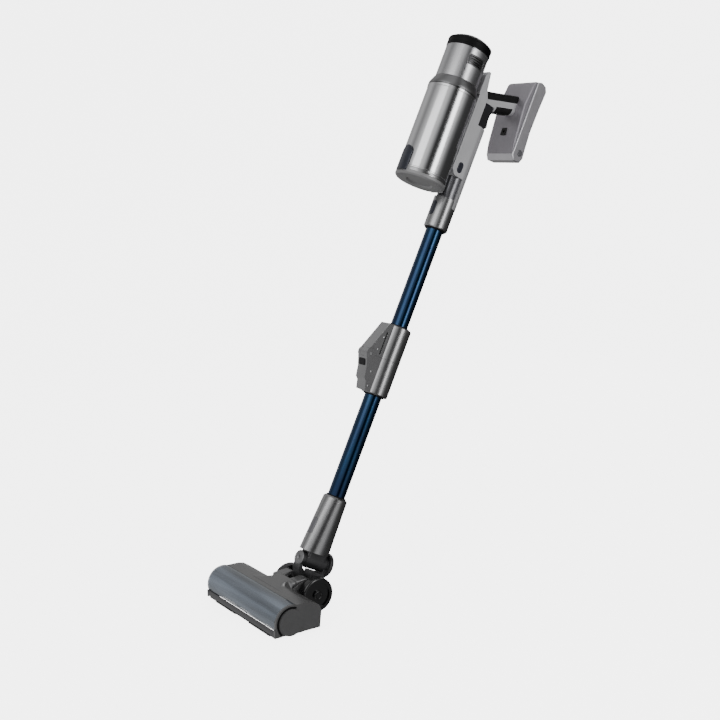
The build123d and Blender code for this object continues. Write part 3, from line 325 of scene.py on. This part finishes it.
# trims on the bin, the motor, the cap and the wand
BIN = STICK @ Matrix.Translation((0, BIN_R / 1000, 0))
lathe("bin_top_trim", band(BIN_SKIN, 1015.0, 1016.4, 0.4), BIN, "cap_black", "bin")
lathe("bin_foot_band", band(BIN_SKIN, 832.4, 838.6, 0.35), BIN, "collar_grey", "bin")
lathe("motor_seam", band(MOTOR_SKIN, 1101.4, 1103.0, 0.4), BIN, "gunmetal", "main")
lathe("cap_rib", band(CAP_SKIN, 1109.0, 1110.6, 0.4), BIN, "cap_black", "filter")
lathe("cap_rib_high", band(CAP_SKIN, 1117.0, 1118.6, 0.5), BIN, "cap_black", "filter")
lathe("socket_lip", band(WAND_SKIN, 753.6, 756.0, 3.2, 0.8), STICK, "grip_rubber", "main")
lathe("collar_lip_high", band(WAND_SKIN, 544.0, 546.2, 3.4, 0.8), STICK, "grip_rubber", "wand")
lathe("collar_lip_low", band(WAND_SKIN, 398.8, 401.0, 3.4, 0.8), STICK, "grip_rubber", "lower_wand")
lathe("neck_lip", band(WAND_SKIN, 186.0, 188.4, 2.2, 0.7), STICK, "grip_rubber", "lower_wand")
lathe("neck_ring", band(SLEEVE_SKIN, 176.0, 177.2, 0.4), STICK, "collar_grey", "lower_wand")

# a ring round each wheel's hub, and three raised treads
HUB_RING = [(8.6, -1), (8.6, 0.9), (7.8, 1.3), (6.2, 1.3), (5.6, 0.7), (5.6, -1)]
for side, body in ((1, "right_wheel"), (-1, "left_wheel")):
    hub = along_x(side * 57.5, 0, AXLE_Z)
    if side < 0:
        hub = hub @ Matrix.Rotation(math.pi, 4, "X")
    lathe("hub_ring_" + body, HUB_RING, hub, "wheel_black", body, 64)
    for groove in range(3):
        middle = along_x(side * (43.5 + 4.5 * groove), 0, AXLE_Z)
        tread = band(TYRE_SKIN, -0.9, 0.9, 0.32, 0.25)
        lathe("tread_%s_%d" % (body, groove), tread, middle, "grip_rubber", body)

# rings on the elbow's discs
front = on_stick(0, -33, 53, -R_DIR)
FRONT_RING = [(12.6, -0.8), (12.6, 0.6), (12.0, 1.0), (10.8, 1.0), (10.2, 0.5), (10.2, -0.8)]
lathe("elbow_ring", FRONT_RING, front, "disc_grey", "yoke", 64)
rear = on_stick(0, 36, 53, R_DIR)
REAR_RING = [(21.5, -0.8), (21.5, 0.6), (20.8, 1.0), (19.0, 1.0), (18.4, 0.5), (18.4, -0.8)]
lathe("elbow_back_ring", REAR_RING, rear, "wheel_black", "yoke", 64)

# screws on both sides of the fold's two halves, and of the fork
FOLD_FLANK, FOLD_SCREW_R, FORK_SCREW_R = 15, 2.2, 2.4
FOLD_HALVES = (
    ("up", "wand", ((-40, 486), (-36, 512))),
    ("low", "lower_wand", ((-37, 440), (-33, 412))),
)
for half, body, spots in FOLD_HALVES:
    for k, (r, u) in enumerate(spots):
        right_seat = on_stick(FOLD_FLANK, r, u, (1, 0, 0))
        left_seat = on_stick(-FOLD_FLANK, r, u, (-1, 0, 0))
        screw("fold_screw_%s_%d" % (half, k), right_seat, FOLD_SCREW_R, "steel", body)
        screw("fold_screw_%s_left_%d" % (half, k), left_seat, FOLD_SCREW_R, "steel", body)
for side in (-1, 1):
    seat = along_x(side * 37, -26, 42)
    if side < 0:
        seat = seat @ Matrix.Rotation(math.pi, 4, "X")
    screw("fork_screw_%d" % side, seat, FORK_SCREW_R, "steel", "head")


def arc_strip(name, base, inner, outer, start, end, depth, mat, body, segments=48):
    """A flat strip along an arc about the local Z of base, angles in degrees."""
    verts, faces = [], []
    for i in range(segments + 1):
        a = math.radians(start + (end - start) * i / segments)
        for radius, height in ((inner, -depth), (outer, -depth), (outer, 0), (inner, 0)):
            verts.append(turned(base, radius, a, height))
    for i in range(segments):
        for k in range(4):
            m = (k + 1) % 4
            faces.append((4 * i + k, 4 * i + 4 + k, 4 * i + 4 + m, 4 * i + m))
    faces.append((0, 1, 2, 3))
    faces.append(tuple(4 * segments + k for k in (3, 2, 1, 0)))
    return mesh_object(name, verts, faces, mat, body, smooth=False)


def head_side(x):
    """A frame on the roller's axis whose Z runs along +X, X to the rear and Y up."""
    return Matrix((
        (0, 0, 1, x / 1000),
        (1, 0, 0, PIVOT.y + ROLLER_Y / 1000),
        (0, 1, 0, ROLLER_Z / 1000),
        (0, 0, 0, 1),
    ))


# a black strip laid in the gap round the right end cap's cover, painted shade where the groove's own walls
# fall in shadow; it ends where the cap does, above the floor
arc_strip("cap_gap_painted_shade", head_side(GAP_FACE), 26.15, 30.35, 68, 226, 0.6, "cap_black", "head")
FRONT_DISC = [(0.4, -0.5), (14.6, -0.5), (14.6, 0.2), (14.2, 0.6), (0.4, 0.6)]
lathe("elbow_disc", FRONT_DISC, front, "disc_grey", "yoke", 64)


def slab(name, rows, low_rows, mat, body):
    """A closed mesh from a grid of top points over a grid of bottom points, in the head's millimetres."""
    count, wide = len(rows), len(rows[0])
    verts = [in_head(x, y, z) for row in rows for x, y, z in row]
    verts += [in_head(x, y, z) for row in low_rows for x, y, z in row]
    under = count * wide
    faces = []
    for i in range(count - 1):
        for k in range(wide - 1):
            a, b, c, d = i * wide + k, i * wide + k + 1, (i + 1) * wide + k + 1, (i + 1) * wide + k
            faces.append((a, b, c, d))
            faces.append((under + d, under + c, under + b, under + a))
    edge = list(range(wide)) + [i * wide + wide - 1 for i in range(1, count)]
    edge += [(count - 1) * wide + k for k in range(wide - 2, -1, -1)]
    edge += [i * wide for i in range(count - 2, 0, -1)]
    for a, b in zip(edge, edge[1:] + edge[:1]):
        faces.append((b, a, under + a, under + b))
    return mesh_object(name, verts, faces, mat, body)


def ramp_top(y):
    """Height of the ramp's crown between the window and the neck."""
    return 60.4 + (y + 84) * 5.2 / 70


def shell_top(y):
    """Height of the head's own top under the ramp."""
    points = ((-95, 60.0), (-70, 60.0), (-58, 57.5), (-46, 50.0), (-30, 57.0), (-12, 64.5))
    for (y0, z0), (y1, z1) in zip(points, points[1:]):
        if y <= y1:
            return z0 + (z1 - z0) * (y - y0) / (y1 - y0)
    return 64.5


RAMP_BACK, RAMP_SPLIT, RAMP_FRONT = -13, -37.2, -84  # the ramp's rear end, its parting and its front end
RAMP_HALF, RAMP_FLARE = 36.8, 30  # half its width at the neck, and what the flare adds at the window
FLARE_FROM, FLARE_LENGTH = -46, 36
YOKE_GAP = 14.2  # half the gap that is left for the yoke
RAMP_ACROSS = 32


def eased(share):
    """A share from 0 to 1 with a soft start and end."""
    return share * share * (3 - 2 * share)


def ramp_piece(name, y_from, y_to, steps, sides=None):
    """A stretch of the ramp from the window to the neck; without fixed sides it spreads towards the window."""
    rows, low_rows = [], []
    for i in range(steps + 1):
        y = y_from + (y_to - y_from) * i / steps
        spread = 0.0 if sides else max(0.0, min(1.0, (FLARE_FROM - y) / FLARE_LENGTH))
        half = RAMP_HALF + RAMP_FLARE * spread * spread
        row, low_row = [], []
        for k in range(RAMP_ACROSS + 1):
            t = k / RAMP_ACROSS
            x = sides[0] + (sides[1] - sides[0]) * t if sides else (2 * t - 1) * half
            side = abs(x) / half
            if spread > 0:
                fall = eased(max(0.0, (side - 0.55) / 0.45))
            else:
                fall = max(0.0, (side - 0.94) / 0.06) ** 2 * 0.2
            crown, shell = ramp_top(y), shell_top(y)
            row.append((x, y, crown + (shell - 0.2 - crown) * fall))
            low_row.append((x, y, shell - 1.0))
        rows.append(row)
        low_rows.append(low_row)
    return slab(name, rows, low_rows, "head_grey", "head")


ramp_piece("ramp_front", RAMP_FRONT, RAMP_SPLIT, 24)
ramp_piece("ramp_right", RAMP_SPLIT, RAMP_BACK, 8, (YOKE_GAP, RAMP_HALF))
ramp_piece("ramp_left", RAMP_SPLIT, RAMP_BACK, 8, (-RAMP_HALF, -YOKE_GAP))

# a soft roller with bristle rows that wind round it
ROLL_STEPS, ROLL_ROUND, ROLL_HALF = 150, 160, 115.5
PILE_R, TUFT_HEIGHT, TUFT_ROWS = 23.2, 3.0, 4
TUFT_TWIST = 150  # degrees that a row winds from the middle to either end
verts, faces = [], []
for i in range(ROLL_STEPS + 1):
    x = -ROLL_HALF + 2 * ROLL_HALF * i / ROLL_STEPS
    twist = math.radians(TUFT_TWIST) * abs(x) / ROLL_HALF
    for j in range(ROLL_ROUND):
        a = 2 * math.pi * j / ROLL_ROUND
        wave = math.cos(TUFT_ROWS * (a - twist))
        tuft = max(0.0, (wave - 0.80) / 0.20)
        radius = PILE_R + TUFT_HEIGHT * min(1.0, tuft * 1.6) + random.uniform(-0.25, 0.35)
        if 0.55 < wave < 0.72:
            radius -= 0.5
        verts.append(in_head(x, ROLLER_Y + radius * math.cos(a), ROLLER_Z + radius * math.sin(a)))
for i in range(ROLL_STEPS):
    for j in range(ROLL_ROUND):
        k = (j + 1) % ROLL_ROUND
        here, beyond = i * ROLL_ROUND, (i + 1) * ROLL_ROUND
        faces.append((here + j, here + k, beyond + k, beyond + j))
faces.append(tuple(range(ROLL_ROUND)))
faces.append(tuple(range(ROLL_STEPS * ROLL_ROUND, (ROLL_STEPS + 1) * ROLL_ROUND)))
soft_roller = mesh_object("soft_roller", verts, faces, "pile", "roller")
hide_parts("roller_pile")

# ---------------------------------------------------------------- studio
def glowing(name, base, glow, rough=0.8):
    """A pale studio surface that also gives off a little light of its own."""
    finish = material(name, base, rough, 0.0, 0.01, 3, 0.05)
    shader = finish.node_tree.nodes["Principled BSDF"]
    shader.inputs["Emission Color"].default_value = (1, 1, 1, 1)
    shader.inputs["Emission Strength"].default_value = glow
    return finish


# a round floor that rises into a backdrop, seen by the camera but not in reflections
SWEEP_R, SWEEP_RISE, SWEEP_TOP, SWEEP_STEPS, CURVE_STEPS = 4.2, 1.2, 5.0, 96, 12
FLOOR_Z = -0.0006  # just under the glide pads, so that the two don't flicker
curve = [(0.02, 0.0), (SWEEP_R - SWEEP_RISE, 0.0)]
for step in range(1, CURVE_STEPS + 1):
    a = math.pi / 2 * step / CURVE_STEPS
    curve.append((SWEEP_R - SWEEP_RISE + SWEEP_RISE * math.sin(a), SWEEP_RISE - SWEEP_RISE * math.cos(a)))
curve.append((SWEEP_R, SWEEP_TOP))
sweep_verts = [(0, 0, FLOOR_Z)]
sweep_faces = []
for radius, height in curve:
    for i in range(SWEEP_STEPS):
        a = 2 * math.pi * i / SWEEP_STEPS
        sweep_verts.append((radius * math.cos(a), radius * math.sin(a), height + FLOOR_Z))
for i in range(SWEEP_STEPS):
    j = (i + 1) % SWEEP_STEPS
    sweep_faces.append((0, 1 + i, 1 + j))
    for k in range(len(curve) - 1):
        low_ring, high_ring = 1 + k * SWEEP_STEPS, 1 + (k + 1) * SWEEP_STEPS
        sweep_faces.append((low_ring + i, high_ring + i, high_ring + j, low_ring + j))
sweep_data = bpy.data.meshes.new("studio_sweep")
sweep_data.from_pydata(sweep_verts, [], sweep_faces)
for poly in sweep_data.polygons:
    poly.use_smooth = True
sweep_data.materials.append(glowing("studio_white", (0.9, 0.9, 0.9), 4.5))
sweep = bpy.data.objects.new("studio_sweep", sweep_data)
bpy.context.scene.collection.objects.link(sweep)
sweep.visible_glossy = False
sweep.visible_diffuse = False

# the light of the room, in long bands that run beside the wand:
# degrees round the wand from +X, towards its rear, and the brightness there
BANDS = ((-180, 0.75), (-150, 0.95), (-128, 0.45), (-98, 1.25), (-50, 1.3), (-38, 0.5), (-28, 0.03),
         (-10, 0.03), (1, 1.0), (20, 1.15), (33, 0.4), (50, 0.08), (120, 0.06), (150, 0.5), (180, 0.75))
world = bpy.data.worlds.new("studio") if not bpy.context.scene.world else bpy.context.scene.world
bpy.context.scene.world = world
world.use_nodes = True
sky = world.node_tree
back = sky.nodes["Background"]
back.inputs["Strength"].default_value = 0.75
ray = sky.nodes.new("ShaderNodeTexCoord")
parts = []
for axis in ((1, 0, 0), tuple(R_DIR)):
    dot = sky.nodes.new("ShaderNodeVectorMath")
    dot.operation = "DOT_PRODUCT"
    dot.inputs[1].default_value = axis
    sky.links.new(ray.outputs["Generated"], dot.inputs[0])
    parts.append(dot)
angle = sky.nodes.new("ShaderNodeMath")
angle.operation = "ARCTAN2"
sky.links.new(parts[1].outputs["Value"], angle.inputs[0])
sky.links.new(parts[0].outputs["Value"], angle.inputs[1])
turn = sky.nodes.new("ShaderNodeMapRange")
turn.inputs["From Min"].default_value = -math.pi
turn.inputs["From Max"].default_value = math.pi
sky.links.new(angle.outputs["Value"], turn.inputs["Value"])
bands = sky.nodes.new("ShaderNodeValToRGB")
sky.links.new(turn.outputs["Result"], bands.inputs["Fac"])
sky.links.new(bands.outputs["Color"], back.inputs["Color"])
ramp = bands.color_ramp
for element, (degrees, value) in ((ramp.elements[0], BANDS[0]), (ramp.elements[1], BANDS[-1])):
    element.position = (degrees + 180) / 360
    element.color = (value, value, value, 1)
for degrees, value in BANDS[1:-1]:
    element = ramp.elements.new((degrees + 180) / 360)
    element.color = (value, value, value, 1)


def softbox(name, spot, aim, size, power):
    """A rectangular studio light at spot that shines at aim."""
    data = bpy.data.lights.new(name, "AREA")
    data.shape = "RECTANGLE"
    data.size, data.size_y = size
    data.energy = power
    light = bpy.data.objects.new(name, data)
    light.location = spot
    light.rotation_euler = (Vector(aim) - Vector(spot)).to_track_quat("-Z", "Y").to_euler()
    bpy.context.scene.collection.objects.link(light)
    return light


softbox("key", (0.6, -2.2, 2.2), (0, 0.0, 0.6), (1.6, 1.6), 15)
softbox("fill", (2.4, 0.5, 1.3), (0, 0.1, 0.6), (0.7, 2.0), 20)
softbox("rim", (-1.6, 2.2, 1.9), (0, 0.1, 0.6), (1.2, 1.6), 14)

# the photo's point of view
AZIMUTH, PITCH = 0.966, 0.172
cam_data = bpy.data.cameras.new("camera")
cam_data.lens = 60
cam_data.sensor_width = 36
cam = bpy.data.objects.new("camera", cam_data)
cam.location = (1.905, -1.3977, 0.8733)
level = math.cos(PITCH)
forward = Vector((-math.sin(AZIMUTH) * level, math.cos(AZIMUTH) * level, -math.sin(PITCH)))
cam.rotation_euler = forward.to_track_quat("-Z", "Y").to_euler()
bpy.context.scene.collection.objects.link(cam)
bpy.context.scene.camera = cam
